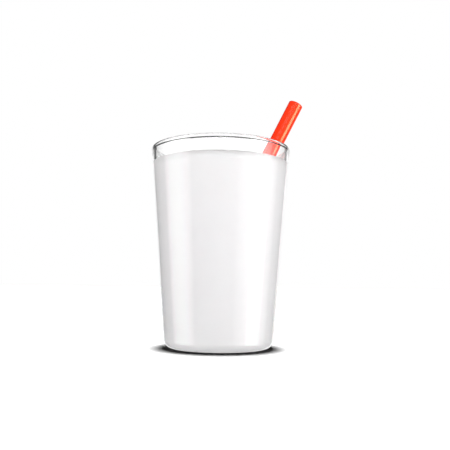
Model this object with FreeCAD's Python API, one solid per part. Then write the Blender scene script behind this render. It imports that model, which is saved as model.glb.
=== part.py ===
# A glass of milk with a drinking straw: a tapered tumbler of clear glass, the milk that fills it
# nearly to the rim, and a wide straw that stands in the milk and leans on the rim.
# Millimetres, +Z up.  The origin is the middle of the flat ring that the tumbler stands on,
# and the straw leans towards +X.

import FreeCAD, Part
import math
import os

Vector = FreeCAD.Vector

# Tumbler, outside
glass_height = 102.0
rim_radius = 36.0             # outer face at the top
foot_radius = 27.5            # outer face carried down to the base, before the heel is rounded
heel_rounding = 4.4           # between the outer face and the ring it stands on
foot_ring_width = 2.0         # flat ring that touches the table
punt_depth = 0.4              # shallow hollow under the middle of the base
punt_slope_width = 2.0        # level length of the slope from the ring up into the hollow
punt_rounding = 1.0           # softens both ends of that slope

# Tumbler, inside
wall_thickness = 1.8          # measured level
floor_height = 2.0            # inside floor above the table
well_rounding = 2.8           # between the inside floor and the wall
lip_bead = 0.6                # how much thicker than the wall the fire-polished lip is, all inwards
lip_drop = 0.19               # from the middle of the lip's round edges down to the bead's underside
lip_fade = 0.6                # height over which the bead fades into the wall
lip_blend = 0.4               # radius of the soft curves at both ends of that fade
lip_flat_share = 0.03         # part of the lip's thickness left level between its two round edges

# Milk
milk_drop = 7.8               # from the top of the lip down to the milk

# Straw
straw_diameter = 8.0
straw_wall = 0.4
straw_length = 143.1
straw_fit = 0.1               # clearance between the straw and the glass where it leans and stands
straw_lip_angle = 25.5        # degrees from +X to where the straw crosses the lip
straw_foot_angle = 171.0      # degrees from +X to its lower end

# Steps of the search that seats the straw
halvings = 40
seating_rounds = 12
edge_points = 72


def outer_radius(height):
    """Radius of the tumbler's outer face at a height above the base."""
    return foot_radius + (rim_radius - foot_radius) * height / glass_height


def inner_radius(height):
    """Radius of the tumbler's inner face at a height above the base, below the lip."""
    return outer_radius(height) - wall_thickness


wall_lean = math.atan2(rim_radius - foot_radius, glass_height)
lip_thickness = wall_thickness + lip_bead
lip_rounding = lip_thickness * (1 - lip_flat_share) / 2
milk_level = glass_height - milk_drop
straw_radius = straw_diameter / 2


def turned(corners):
    """Solid turned about Z from (radius, height, rounding) corners, each rounded by a tangent arc."""
    points = [Vector(radius, 0, height) for radius, height, rounding in corners]
    arcs = []
    for i, (radius, height, rounding) in enumerate(corners):
        back = (points[i - 1] - points[i]).normalize()
        ahead = (points[(i + 1) % len(points)] - points[i]).normalize()
        half_corner = back.getAngle(ahead) / 2
        reach = rounding / math.tan(half_corner)
        inward = (back + ahead).normalize()
        middle = points[i] + inward * (rounding / math.sin(half_corner) - rounding)
        arcs.append((points[i] + back * reach, middle, points[i] + ahead * reach))
    edges = []
    for i, (start, middle, end) in enumerate(arcs):
        if corners[i][2] > 0:
            edges.append(Part.Arc(start, middle, end).toShape())
        following_start = arcs[(i + 1) % len(arcs)][0]
        edges.append(Part.LineSegment(end, following_start).toShape())
    face = Part.Face(Part.Wire(edges))
    return face.revolve(Vector(0, 0, 0), Vector(0, 0, 1), 360)


def make_glass():
    """Tapered tumbler: hollow under the foot, round heel, even wall, thin floor and beaded lip."""
    heel_reach = heel_rounding / math.tan((math.pi / 2 + wall_lean) / 2)
    ring_inside = foot_radius - heel_reach - foot_ring_width
    bead_bottom = glass_height - lip_rounding - lip_drop
    wall_top = bead_bottom - lip_fade
    return turned([
        (0, punt_depth, 0),
        (ring_inside - punt_slope_width, punt_depth, punt_rounding),
        (ring_inside, 0, punt_rounding),
        (foot_radius, 0, heel_rounding),
        (rim_radius, glass_height, lip_rounding),
        (rim_radius - lip_thickness, glass_height, lip_rounding),
        (outer_radius(bead_bottom) - lip_thickness, bead_bottom, lip_blend),
        (inner_radius(wall_top), wall_top, lip_blend),
        (inner_radius(floor_height), floor_height, well_rounding),
        (0, floor_height, 0),
    ])


def make_milk(straw):
    """Milk that fills the tumbler up to its level, inside the straw too, and parts round its wall."""
    filled = turned([
        (0, floor_height, 0),
        (inner_radius(floor_height), floor_height, well_rounding),
        (inner_radius(milk_level), milk_level, 0),
        (0, milk_level, 0),
    ])
    return filled.cut(straw)


def polar(angle, radius, height):
    """Point at an angle in degrees from +X, a radius and a height."""
    turn = math.radians(angle)
    return Vector(radius * math.cos(turn), radius * math.sin(turn), height)


def well_radius(height):
    """Radius of the inside at a height above the inside floor, with the rounded corner counted."""
    centre_height = floor_height + well_rounding
    if height >= centre_height - well_rounding * math.sin(wall_lean):
        return inner_radius(height)
    centre_radius = inner_radius(centre_height) - well_rounding / math.cos(wall_lean)
    return centre_radius + math.sqrt(well_rounding ** 2 - (centre_height - height) ** 2)


def largest(fits, low, high):
    """Largest number from low to high that fits, found by halving."""
    for _ in range(halvings):
        middle = (low + high) / 2
        if fits(middle):
            low = middle
        else:
            high = middle
    return low


def foot_is_clear(foot, axis):
    """Whether the edge of the straw's square lower end keeps its clearance from the wall."""
    across = axis.cross(Vector(0, 0, 1)).normalize()
    along = axis.cross(across)
    for i in range(edge_points):
        turn = 2 * math.pi * i / edge_points
        point = foot + across * (straw_radius * math.cos(turn)) + along * (straw_radius * math.sin(turn))
        if math.hypot(point.x, point.y) + straw_fit > well_radius(point.z):
            return False
    return True


def lip_is_clear(foot, crossing, ring_radius, ring_height):
    """Whether the straw's side keeps its clearance from the lip's round inner edge."""
    axis = (crossing - foot).normalize()
    needed = straw_radius + lip_rounding + straw_fit
    for i in range(-edge_points, edge_points + 1):
        point = crossing + axis * (straw_diameter * i / edge_points)
        off_ring = math.hypot(math.hypot(point.x, point.y) - ring_radius, point.z - ring_height)
        if off_ring < needed:
            return False
    return True


def seat_straw():
    """Centre of the straw's lower end and its direction, standing on the floor and leaning on the lip."""
    ring_height = glass_height - lip_rounding
    ring_radius = outer_radius(ring_height) - lip_thickness + lip_rounding / math.cos(wall_lean)
    foot = polar(straw_foot_angle, inner_radius(floor_height) - straw_diameter, floor_height)
    crossing = polar(straw_lip_angle, ring_radius - straw_diameter, ring_height)
    for _ in range(seating_rounds):
        axis = (crossing - foot).normalize()
        rise = straw_fit + straw_radius * math.hypot(axis.x, axis.y)
        foot_height = floor_height + rise

        def foot_fits(radius):
            return foot_is_clear(polar(straw_foot_angle, radius, foot_height), axis)

        foot = polar(straw_foot_angle, largest(foot_fits, 0, inner_radius(foot_height)), foot_height)

        def lip_fits(radius):
            moved = polar(straw_lip_angle, radius, ring_height)
            return lip_is_clear(foot, moved, ring_radius, ring_height)

        crossing = polar(straw_lip_angle, largest(lip_fits, 0, ring_radius), ring_height)
    return foot, (crossing - foot).normalize()


def make_straw():
    """Straight open tube, cut square at both ends."""
    foot, axis = seat_straw()
    outside = Part.makeCylinder(straw_radius, straw_length, foot, axis)
    bore = Part.makeCylinder(straw_radius - straw_wall, straw_length, foot, axis)
    return outside.cut(bore)


straw = make_straw()
nodes = {"glass": make_glass(), "milk": make_milk(straw), "straw": straw}

os.makedirs("parts", exist_ok=True)
for name, shape in nodes.items():
    shape.exportStep(os.path.join("parts", name + ".step"))
    print(name, len(shape.Solids), "solid", round(shape.Volume, 1), "mm3", shape.isValid(), shape.BoundBox)
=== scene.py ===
import math

import bmesh
import bpy
from mathutils import Matrix, Vector


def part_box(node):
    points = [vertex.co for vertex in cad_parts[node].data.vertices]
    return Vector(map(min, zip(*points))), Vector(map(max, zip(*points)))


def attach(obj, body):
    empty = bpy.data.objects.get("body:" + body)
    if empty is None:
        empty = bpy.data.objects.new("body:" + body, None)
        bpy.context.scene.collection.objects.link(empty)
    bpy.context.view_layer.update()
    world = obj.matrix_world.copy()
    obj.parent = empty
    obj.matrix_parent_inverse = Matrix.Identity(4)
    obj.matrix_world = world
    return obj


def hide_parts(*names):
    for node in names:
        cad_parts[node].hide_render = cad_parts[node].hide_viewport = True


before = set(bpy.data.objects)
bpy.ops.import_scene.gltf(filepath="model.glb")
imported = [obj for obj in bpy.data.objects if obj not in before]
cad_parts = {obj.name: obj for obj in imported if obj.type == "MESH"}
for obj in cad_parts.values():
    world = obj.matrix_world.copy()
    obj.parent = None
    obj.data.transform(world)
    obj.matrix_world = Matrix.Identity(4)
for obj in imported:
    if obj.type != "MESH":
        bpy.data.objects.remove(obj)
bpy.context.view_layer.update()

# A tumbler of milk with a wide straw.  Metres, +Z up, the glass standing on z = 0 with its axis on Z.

MM = 0.001

# ---- sizes -------------------------------------------------------------------------------------

# The glassmaker's sizes; the heights of the glass and of its floor are the frame's.
glass_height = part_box("glass")[1][2]
rim_radius = 36.0 * MM
foot_radius = 27.5 * MM
heel_rounding = 4.4 * MM
foot_ring_width = 2.0 * MM
punt_depth = 0.4 * MM
punt_slope_width = 2.0 * MM
punt_rounding = 1.0 * MM
wall_thickness = 1.8 * MM
floor_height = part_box("milk")[0][2]
well_rounding = 2.8 * MM
lip_thickness = 2.4 * MM
lip_rounding = 0.485 * lip_thickness    # nearly a half round on either side
lip_drop = 0.19 * MM
lip_fade = 0.6 * MM
lip_blend = 0.4 * MM

# The milk creeps up whatever it wets, and its topmost edge is the frame's level.
milk_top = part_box("milk")[1][2]
milk_creep = 1.0 * MM
creep_length = 1.3 * MM
reach_into_wall = 0.12 * MM

# The straw's bore and its softened ends.
straw_radius = 4.0 * MM
straw_wall = 0.4 * MM
straw_end_rounding = 0.12 * MM

# Fineness of the meshes.
glass_sides = 192
straw_sides = 96
long_edge = 20 * MM
glass_cuts = 30
straw_cuts = 60

# Rings of the milk's surface, from the wall inwards: they start narrow and grow wider.
first_ring = 0.15 * MM
widest_ring = 0.8 * MM
ring_growth = 1.35
innermost_ring = 0.4 * MM

# Room: its brightness, white being 1, and how far its bright part reaches.
room_back = 1.15
room_front = 0.13
room_ceiling = 0.05
room_turn = math.radians(3.5)           # middle of the bright part, to the right of straight behind
room_sides = (0.835, 0.852)             # it ends at these cosines, 29 degrees left and 36 degrees right
room_top = (0.29, 0.5)                  # it ends between these sines of the height

# Softboxes: azimuth from the camera's side, + to the right, and spread, both in degrees; lowest and
# highest point in metres; brightness, white being 1.
softboxes = {
    "soft_right": (68, 84, -0.4, 0.8, 1.6),
    "key_right": (72, 38, -0.4, 0.8, 2.4),
    "soft_left": (-77, 58, -0.4, 0.8, 2.8),
    "front_fill": (5, 90, 0.4, 1.0, 9.0),
    "straw_glint": (68, 40, -0.4, 0.3, 16.0),
}
softbox_distance = 0.7
glint_colour = "#ffcfa0"

# Table and the lamp over it, which stands a touch behind and to the right.
table_size = 8
table_shine = 1.03
table_light = 146.0
table_lamp_place = (0.005, 0.044, 1)
table_lamp_width = math.radians(10.6)

# Camera: place in metres, angles in radians, lens in millimetres.
camera_place = (0, -300 * MM, 32.13 * MM)
camera_pitch, camera_yaw, camera_roll = 0.1006, 0.0087, 0.0114
camera_lens = 46.58
camera_sensor = 36.0

milk_flat = milk_top - milk_creep       # level of the surface away from what it wets


def outer_radius(height):
    """Radius of the glass's outer face at a height."""
    return foot_radius + (rim_radius - foot_radius) * height / glass_height


def inner_radius(height):
    """Radius of the glass's inner face at a height, below the lip."""
    return outer_radius(height) - wall_thickness


def straw_line():
    """Middle and direction of the straw, from the box that it fills in the frame."""
    low, high = (Vector(corner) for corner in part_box("straw"))
    extent = high - low
    axis = extent.normalized()
    for _ in range(50):
        spans = [extent[i] - 2 * straw_radius * math.sqrt(1 - axis[i] ** 2) for i in range(3)]
        axis = Vector(spans).normalized()
    return (low + high) / 2, axis, Vector(spans).length


# ---- modelling by hand -------------------------------------------------------------------------

def settle(piece, name):
    """Names a new primitive and puts its place into its mesh."""
    piece.name = name
    piece.data.name = name
    bpy.ops.object.transform_apply(location=True, rotation=True, scale=True)
    return piece


def pick(piece, kind, test):
    """In edit mode, selects only the vertices, edges or faces whose points all pass the test."""
    bpy.ops.mesh.select_mode(type=kind)
    bpy.ops.mesh.select_all(action="DESELECT")
    shape = bmesh.from_edit_mesh(piece.data)
    items = {"VERT": shape.verts, "EDGE": shape.edges, "FACE": shape.faces}[kind]
    for item in items:
        points = [item] if kind == "VERT" else item.verts
        if all(test(point.co) for point in points):
            item.select_set(True)
    shape.select_flush_mode()
    bmesh.update_edit_mesh(piece.data)


def at_ring(radius, height, slack=0.01 * MM):
    """Test for points on a level ring about the glass's axis."""
    return lambda co: abs(co.z - height) < slack and abs(math.hypot(co.x, co.y) - radius) < slack


def carry_cap(start, end):
    """Extrudes the picked level cap from one (radius, height) to the next."""
    bpy.ops.mesh.extrude_region_move(TRANSFORM_OT_translate={"value": (0, 0, end[1] - start[1])})
    ratio = end[0] / start[0]
    bpy.ops.transform.resize(value=(ratio, ratio, 1), center_override=(0, 0, end[1]))


def corner_reach(before, corner, after, rounding):
    """Distance from a corner of the outline to where a rounding of that radius starts."""
    back = Vector(before) - Vector(corner)
    ahead = Vector(after) - Vector(corner)
    return rounding / math.tan(back.angle(ahead) / 2)


def turned(name, outline, base, sides):
    """Round piece from its outline, a list of (radius, height, rounding, steps) from one cap to the other.

    The outline's corner number base is the outer foot, and the next is the outer top.  A cylinder
    between them is drawn out on both sides through the other corners, and then each corner is bevelled.
    """
    foot, top = outline[base], outline[base + 1]
    bpy.ops.object.select_all(action="DESELECT")
    bpy.ops.mesh.primitive_cylinder_add(vertices=sides, radius=foot[0], depth=top[1] - foot[1],
                                        location=(0, 0, (top[1] + foot[1]) / 2))
    piece = settle(bpy.context.object, name)
    bpy.ops.object.mode_set(mode="EDIT")
    pick(piece, "FACE", at_ring(foot[0], top[1]))
    ratio = top[0] / foot[0]
    bpy.ops.transform.resize(value=(ratio, ratio, 1), center_override=(0, 0, top[1]))
    for run in (outline[base + 1:], outline[base::-1]):
        for start, end in zip(run, run[1:]):
            pick(piece, "FACE", at_ring(start[0], start[1]))
            carry_cap(start, end)
    for i, (radius, height, rounding, steps) in enumerate(outline):
        if rounding > 0:
            before = outline[i - 1][:2] if i > 0 else (0, height)
            after = outline[i + 1][:2] if i + 1 < len(outline) else (0, height)
            reach = corner_reach(before, (radius, height), after, rounding)
            pick(piece, "EDGE", at_ring(radius, height))
            bpy.ops.mesh.bevel(offset=reach, segments=steps, profile=0.5, clamp_overlap=False)
    return piece


def divide_long(piece, longest, cuts):
    """Cuts every edge longer than a length, so that the long walls shade as true cones."""
    bpy.ops.mesh.select_mode(type="EDGE")
    bpy.ops.mesh.select_all(action="DESELECT")
    shape = bmesh.from_edit_mesh(piece.data)
    for edge in shape.edges:
        if edge.calc_length() > longest:
            edge.select_set(True)
    bmesh.update_edit_mesh(piece.data)
    bpy.ops.mesh.subdivide(number_cuts=cuts)


def finish_piece(piece, material, node):
    """Smooth shading and material for a finished piece, put on the root body, with the frame's own part
    hidden.
    """
    if piece.mode != "OBJECT":
        bpy.ops.object.mode_set(mode="OBJECT")
    bpy.ops.object.shade_smooth()
    piece.data.materials.clear()
    piece.data.materials.append(material)
    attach(piece, "root")
    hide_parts(node)


# ---- pieces ------------------------------------------------------------------------------------

def make_glass(material):
    """Pressed tumbler with a hollow under its foot and a fire-polished lip that beads inwards."""
    bead_bottom = glass_height - lip_rounding - lip_drop
    wall_top = bead_bottom - lip_fade
    heel = corner_reach((0, 0), (foot_radius, 0), (rim_radius, glass_height), heel_rounding)
    ring_inside = foot_radius - heel - foot_ring_width
    outline = [
        (ring_inside - punt_slope_width, punt_depth, punt_rounding, 4),
        (ring_inside, 0, punt_rounding, 4),
        (foot_radius, 0, heel_rounding, 16),
        (rim_radius, glass_height, lip_rounding, 16),
        (rim_radius - lip_thickness, glass_height, lip_rounding, 16),
        (outer_radius(bead_bottom) - lip_thickness, bead_bottom, lip_blend, 6),
        (inner_radius(wall_top), wall_top, lip_blend, 6),
        (inner_radius(floor_height), floor_height, well_rounding, 12),
    ]
    glass = turned("tumbler", outline, 2, glass_sides)
    divide_long(glass, long_edge, glass_cuts)
    finish_piece(glass, material, "glass")
    return glass


def make_milk(material):
    """Milk that fills the well, with a surface that creeps up the wall and up the straw."""
    outline = [
        (inner_radius(floor_height) + reach_into_wall, floor_height - reach_into_wall,
         well_rounding + reach_into_wall, 12),
        (inner_radius(milk_flat) + reach_into_wall, milk_flat, 0, 0),
    ]
    milk = turned("milk_fill", outline, 0, glass_sides)
    divide_long(milk, long_edge, glass_cuts)
    start = outline[1][:2]
    step = first_ring
    while start[0] - step > innermost_ring:
        pick(milk, "FACE", at_ring(start[0], milk_flat))
        end = (start[0] - step, milk_flat)
        carry_cap(start, end)
        start = end
        step = min(step * ring_growth, widest_ring)
    pick(milk, "FACE", at_ring(start[0], milk_flat))
    bpy.ops.mesh.poke()
    middle, axis, _ = straw_line()
    shape = bmesh.from_edit_mesh(milk.data)
    edge = inner_radius(milk_flat)
    for vert in shape.verts:
        if vert.co.z > milk_flat - 0.001 * MM:
            away = vert.co - middle
            off_axis = (away - axis * away.dot(axis)).length
            to_wall = max(0, edge - math.hypot(vert.co.x, vert.co.y))
            if off_axis > straw_radius - straw_wall / 2:
                to_straw = max(0, off_axis - straw_radius)
            else:
                to_straw = max(0, straw_radius - straw_wall - off_axis)
            vert.co.z += milk_creep * max(math.exp(-to_wall / creep_length),
                                          math.exp(-to_straw / creep_length))
    bmesh.update_edit_mesh(milk.data)
    finish_piece(milk, material, "milk")
    return milk


def make_straw(material):
    """Open tube of even wall with softened ends."""
    middle, axis, length = straw_line()
    turn = axis.to_track_quat("Z", "Y").to_euler()
    bpy.ops.object.select_all(action="DESELECT")
    bpy.ops.mesh.primitive_cylinder_add(vertices=straw_sides, radius=straw_radius, depth=length,
                                        end_fill_type="NOTHING", location=middle, rotation=turn)
    straw = settle(bpy.context.object, "drinking_straw")
    bpy.ops.object.mode_set(mode="EDIT")
    divide_long(straw, long_edge, straw_cuts)
    bpy.ops.object.mode_set(mode="OBJECT")
    wall = straw.modifiers.new("wall", "SOLIDIFY")
    wall.thickness = straw_wall
    wall.offset = -1
    bpy.ops.object.modifier_apply(modifier=wall.name)
    ends = straw.modifiers.new("ends", "BEVEL")
    ends.width = straw_end_rounding
    ends.segments = 3
    ends.limit_method = "ANGLE"
    bpy.ops.object.modifier_apply(modifier=ends.name)
    finish_piece(straw, material, "straw")
    return straw


# ---- materials ---------------------------------------------------------------------------------

def colour(code):
    """Linear colour from an sRGB hex code."""
    values = [int(code[i:i + 2], 16) / 255 for i in (1, 3, 5)]
    return [v / 12.92 if v <= 0.04045 else ((v + 0.055) / 1.055) ** 2.4 for v in values] + [1]


def node(tree, kind, settings=None, **links):
    """Adds a node, with its settings and with its inputs set or linked by name."""
    made = tree.nodes.new(kind)
    for key, value in (settings or {}).items():
        setattr(made, key, value)
    for key, value in links.items():
        socket = made.inputs[key.replace("_", " ")]
        if isinstance(value, bpy.types.NodeSocket):
            tree.links.new(value, socket)
        else:
            socket.default_value = value
    return made


def new_material(name):
    """Empty material with its output node."""
    made = bpy.data.materials.new(name)
    made.use_nodes = True
    made.node_tree.nodes.clear()
    return made, made.node_tree, made.node_tree.nodes.new("ShaderNodeOutputMaterial")


def soda_lime_glass():
    """Pressed soda-lime glass, fire polished: clear and smooth, with the faint slow waves of its making."""
    made, tree, output = new_material("soda_lime_glass")
    place = node(tree, "ShaderNodeTexCoord")
    # Waves a dozen millimetres long and a few micrometres high, drawn out along the height.
    drawn = node(tree, "ShaderNodeMapping", Vector=place.outputs["Object"], Scale=(1, 1, 0.3))
    waves = node(tree, "ShaderNodeTexNoise", Vector=drawn.outputs["Vector"], Scale=1 / (12 * MM),
                 Detail=1.0)
    relief = node(tree, "ShaderNodeBump", Height=waves.outputs["Fac"], Strength=1.0, Distance=0.006 * MM)
    shader = node(tree, "ShaderNodeBsdfPrincipled", Base_Color=colour("#ffffff"), Roughness=0.0, IOR=1.52,
                  Transmission_Weight=1.0, Normal=relief.outputs["Normal"])
    tree.links.new(shader.outputs["BSDF"], output.inputs["Surface"])
    return made


def whole_milk():
    """Whole milk: fat droplets in water scatter nearly all light within a few millimetres of a wet
    surface, and cream gathers in patches that differ by a shade."""
    made, tree, output = new_material("whole_milk")
    place = node(tree, "ShaderNodeTexCoord")
    clouds = node(tree, "ShaderNodeTexNoise", Vector=place.outputs["Object"], Scale=1 / (9 * MM),
                  Detail=3.0)
    cream = node(tree, "ShaderNodeMix", {"data_type": "RGBA"}, Factor=clouds.outputs["Fac"])
    cream.inputs[6].default_value = colour("#fdf8fb")
    cream.inputs[7].default_value = colour("#fbf5f8")
    # Droplets of fat, drawn a millimetre apart so that they show at all.
    skin = node(tree, "ShaderNodeTexNoise", Vector=place.outputs["Object"], Scale=1 / (1.0 * MM),
                Detail=2.0)
    relief = node(tree, "ShaderNodeBump", Height=skin.outputs["Fac"], Strength=1.0, Distance=0.003 * MM)
    shader = node(tree, "ShaderNodeBsdfPrincipled", Base_Color=cream.outputs[2], Roughness=0.15, IOR=1.35,
                  Subsurface_Weight=1.0, Subsurface_Radius=(1.0, 0.97, 0.97), Subsurface_Scale=3.0 * MM,
                  Normal=relief.outputs["Normal"])
    tree.links.new(shader.outputs["BSDF"], output.inputs["Surface"])
    return made


def straw_polypropylene():
    """Extruded polypropylene, dyed orange-red: a clean gloss, broken by the fine lines that the die leaves
    along the tube."""
    made, tree, output = new_material("straw_polypropylene")
    axis = straw_line()[1]
    place = node(tree, "ShaderNodeTexCoord")
    # Turned so that Z runs along the tube; lines 0.5 mm apart round it and some 60 mm long.
    along = node(tree, "ShaderNodeMapping", {"vector_type": "POINT"}, Vector=place.outputs["Object"],
                 Rotation=axis.rotation_difference(Vector((0, 0, 1))).to_euler())
    lines = node(tree, "ShaderNodeMapping", Vector=along.outputs["Vector"], Scale=(1, 1, 0.5 / 60))
    streaks = node(tree, "ShaderNodeTexNoise", Vector=lines.outputs["Vector"], Scale=1 / (0.5 * MM),
                   Detail=1.0)
    relief = node(tree, "ShaderNodeBump", Height=streaks.outputs["Fac"], Strength=1.0,
                  Distance=0.0004 * MM)
    dye = node(tree, "ShaderNodeMix", {"data_type": "RGBA"}, Factor=streaks.outputs["Fac"])
    dye.inputs[6].default_value = colour("#f23216")
    dye.inputs[7].default_value = colour("#f53618")
    gloss = node(tree, "ShaderNodeMapRange", Value=streaks.outputs["Fac"], To_Min=0.12, To_Max=0.17)
    shader = node(tree, "ShaderNodeBsdfPrincipled", Base_Color=dye.outputs[2],
                  Roughness=gloss.outputs["Result"], IOR=1.49, Normal=relief.outputs["Normal"])
    tree.links.new(shader.outputs["BSDF"], output.inputs["Surface"])
    return made


def table_white():
    """Matt grey table, so brightly lit by its own lamp that it shows white.

    On what is scattered in the milk it shines as an evenly lit white table would, and it leaves no
    mirror image in the glass, as if it ended close by.
    """
    made, tree, output = new_material("table_white")
    matt = node(tree, "ShaderNodeBsdfDiffuse", Color=colour("#424242"))
    shine = node(tree, "ShaderNodeEmission", Color=colour("#ffffff"), Strength=table_shine)
    clear = node(tree, "ShaderNodeBsdfTransparent")
    seen = node(tree, "ShaderNodeLightPath")
    scattered = node(tree, "ShaderNodeMath", {"operation": "MAXIMUM"})
    tree.links.new(seen.outputs["Diffuse Depth"], scattered.inputs[0])
    tree.links.new(seen.outputs["Is Shadow Ray"], scattered.inputs[1])
    below = node(tree, "ShaderNodeMixShader", Fac=scattered.outputs["Value"])
    tree.links.new(clear.outputs["BSDF"], below.inputs[1])
    tree.links.new(shine.outputs["Emission"], below.inputs[2])
    either = node(tree, "ShaderNodeMixShader", Fac=seen.outputs["Is Camera Ray"])
    tree.links.new(below.outputs["Shader"], either.inputs[1])
    tree.links.new(matt.outputs["BSDF"], either.inputs[2])
    tree.links.new(either.outputs["Shader"], output.inputs["Surface"])
    return made


# ---- studio ------------------------------------------------------------------------------------

def make_floor():
    """Table that runs out to the horizon."""
    bpy.ops.object.select_all(action="DESELECT")
    bpy.ops.mesh.primitive_plane_add(size=table_size, location=(0, 0, 0))
    floor = settle(bpy.context.object, "table")
    floor.data.materials.append(table_white())
    return floor


def make_world():
    """White room: bright low down behind the glass, dim before it and overhead, plain white to the eye."""
    world = bpy.data.worlds.new("studio")
    bpy.context.scene.world = world
    world.use_nodes = True
    tree = world.node_tree
    tree.nodes.clear()
    output = tree.nodes.new("ShaderNodeOutputWorld")
    place = node(tree, "ShaderNodeTexCoord")
    part = node(tree, "ShaderNodeSeparateXYZ", Vector=place.outputs["Generated"])
    ahead = node(tree, "ShaderNodeVectorMath", {"operation": "DOT_PRODUCT"},
                 Vector=place.outputs["Generated"])
    ahead.inputs[1].default_value = Vector((0, 1, 0)) @ Matrix.Rotation(room_turn, 3, "Z")
    behind = node(tree, "ShaderNodeMapRange", Value=ahead.outputs["Value"], From_Min=room_sides[0],
                  From_Max=room_sides[1], To_Min=room_front, To_Max=room_back)
    height = node(tree, "ShaderNodeMapRange", Value=part.outputs["Z"], From_Min=room_top[0],
                  From_Max=room_top[1])
    level = node(tree, "ShaderNodeMix", {"data_type": "FLOAT"}, Factor=height.outputs["Result"],
                 A=behind.outputs["Result"], B=room_ceiling)
    seen = node(tree, "ShaderNodeLightPath")
    strength = node(tree, "ShaderNodeMix", {"data_type": "FLOAT"}, Factor=seen.outputs["Is Camera Ray"],
                    A=level.outputs[0], B=1.0)
    background = node(tree, "ShaderNodeBackground", Color=colour("#ffffff"), Strength=strength.outputs[0])
    tree.links.new(background.outputs["Background"], output.inputs["Surface"])


def make_lamp(name, kind, energy, place, aim, **settings):
    """Lamp at a place, aimed at a point, that the camera can't see."""
    data = bpy.data.lights.new(name, kind)
    data.energy = energy
    for key, value in settings.items():
        setattr(data, key, value)
    lamp = bpy.data.objects.new(name, data)
    bpy.context.scene.collection.objects.link(lamp)
    place = Vector(place)
    turn = (Vector(aim) - place).to_track_quat("-Z", "Y")
    lamp.matrix_world = Matrix.Translation(place) @ turn.to_matrix().to_4x4()
    lamp.visible_camera = False
    return lamp


def softbox(name):
    """Upright softbox that faces the glass, from the list of softboxes."""
    azimuth, spread, low, high, brightness = softboxes[name]
    turn = math.radians(azimuth)
    middle = (low + high) / 2
    width = 2 * softbox_distance * math.tan(math.radians(spread) / 2)
    place = (softbox_distance * math.sin(turn), -softbox_distance * math.cos(turn), middle)
    energy = brightness * math.pi * width * (high - low)
    lamp = make_lamp(name, "AREA", energy, place, (0, 0, middle), shape="RECTANGLE", size=width,
                     size_y=high - low)
    fade_sides(lamp.data)
    return lamp


def fade_sides(light):
    """Dims a softbox from full in the middle to nothing at its two upright sides."""
    light.use_nodes = True
    tree = light.node_tree
    face = node(tree, "ShaderNodeNewGeometry")
    across = node(tree, "ShaderNodeSeparateXYZ", Vector=face.outputs["Parametric"])
    side = node(tree, "ShaderNodeMapRange", Value=across.outputs["X"], To_Min=-1.0, To_Max=1.0)
    square = node(tree, "ShaderNodeMath", {"operation": "MULTIPLY"})
    tree.links.new(side.outputs["Result"], square.inputs[0])
    tree.links.new(side.outputs["Result"], square.inputs[1])
    rest = node(tree, "ShaderNodeMath", {"operation": "SUBTRACT"})
    rest.inputs[0].default_value = 1.0
    tree.links.new(square.outputs["Value"], rest.inputs[1])
    tree.links.new(rest.outputs["Value"], tree.nodes["Emission"].inputs["Strength"])


def light_only(lamps, objects, name):
    """Lets the lamps light only these objects."""
    lit = bpy.data.collections.new(name)
    for thing in objects:
        lit.objects.link(thing)
    for lamp in lamps:
        lamp.light_linking.receiver_collection = lit


def make_lamps(pieces, table):
    """Lamps for the glass and milk, the straw and the table.

    Softboxes left and right light the glass with its milk, a fill from above the camera lights every
    piece, a warm softbox gives the straw its glint, and a lamp overhead lights the table.
    """
    filled_glass, straw = pieces[:2], pieces[2:]
    beside = [softbox(name) for name in ("soft_right", "key_right", "soft_left")]
    light_only(beside, filled_glass, "lit_by_softboxes")
    fill = softbox("front_fill")
    fill.visible_glossy = False
    light_only([fill], pieces, "lit_by_fill")
    glint = softbox("straw_glint")
    glint.data.color = colour(glint_colour)[:3]
    light_only([glint], straw, "lit_by_glint")
    table_lamp = make_lamp("table_lamp", "SUN", table_light, table_lamp_place, (0, 0, 0),
                           angle=table_lamp_width)
    light_only([table_lamp], [table], "lit_by_table_lamp")
    shading = bpy.data.collections.new("shading_the_table")
    for piece in filled_glass:
        shading.objects.link(piece)
    table_lamp.light_linking.blocker_collection = shading


def make_camera():
    """Camera a little above table height, tipped up and turned a touch to the right."""
    data = bpy.data.cameras.new("camera")
    data.sensor_width = camera_sensor
    data.lens = camera_lens
    camera = bpy.data.objects.new("camera", data)
    bpy.context.scene.collection.objects.link(camera)
    turn = (Matrix.Rotation(-camera_yaw, 4, "Z") @ Matrix.Rotation(math.pi / 2 + camera_pitch, 4, "X")
            @ Matrix.Rotation(camera_roll, 4, "Z"))
    camera.matrix_world = Matrix.Translation(camera_place) @ turn
    bpy.context.scene.camera = camera


pieces = [make_glass(soda_lime_glass()), make_milk(whole_milk()), make_straw(straw_polypropylene())]
table = make_floor()
make_lamps(pieces, table)
make_world()
make_camera()
bpy.context.scene.view_settings.view_transform = "Standard"
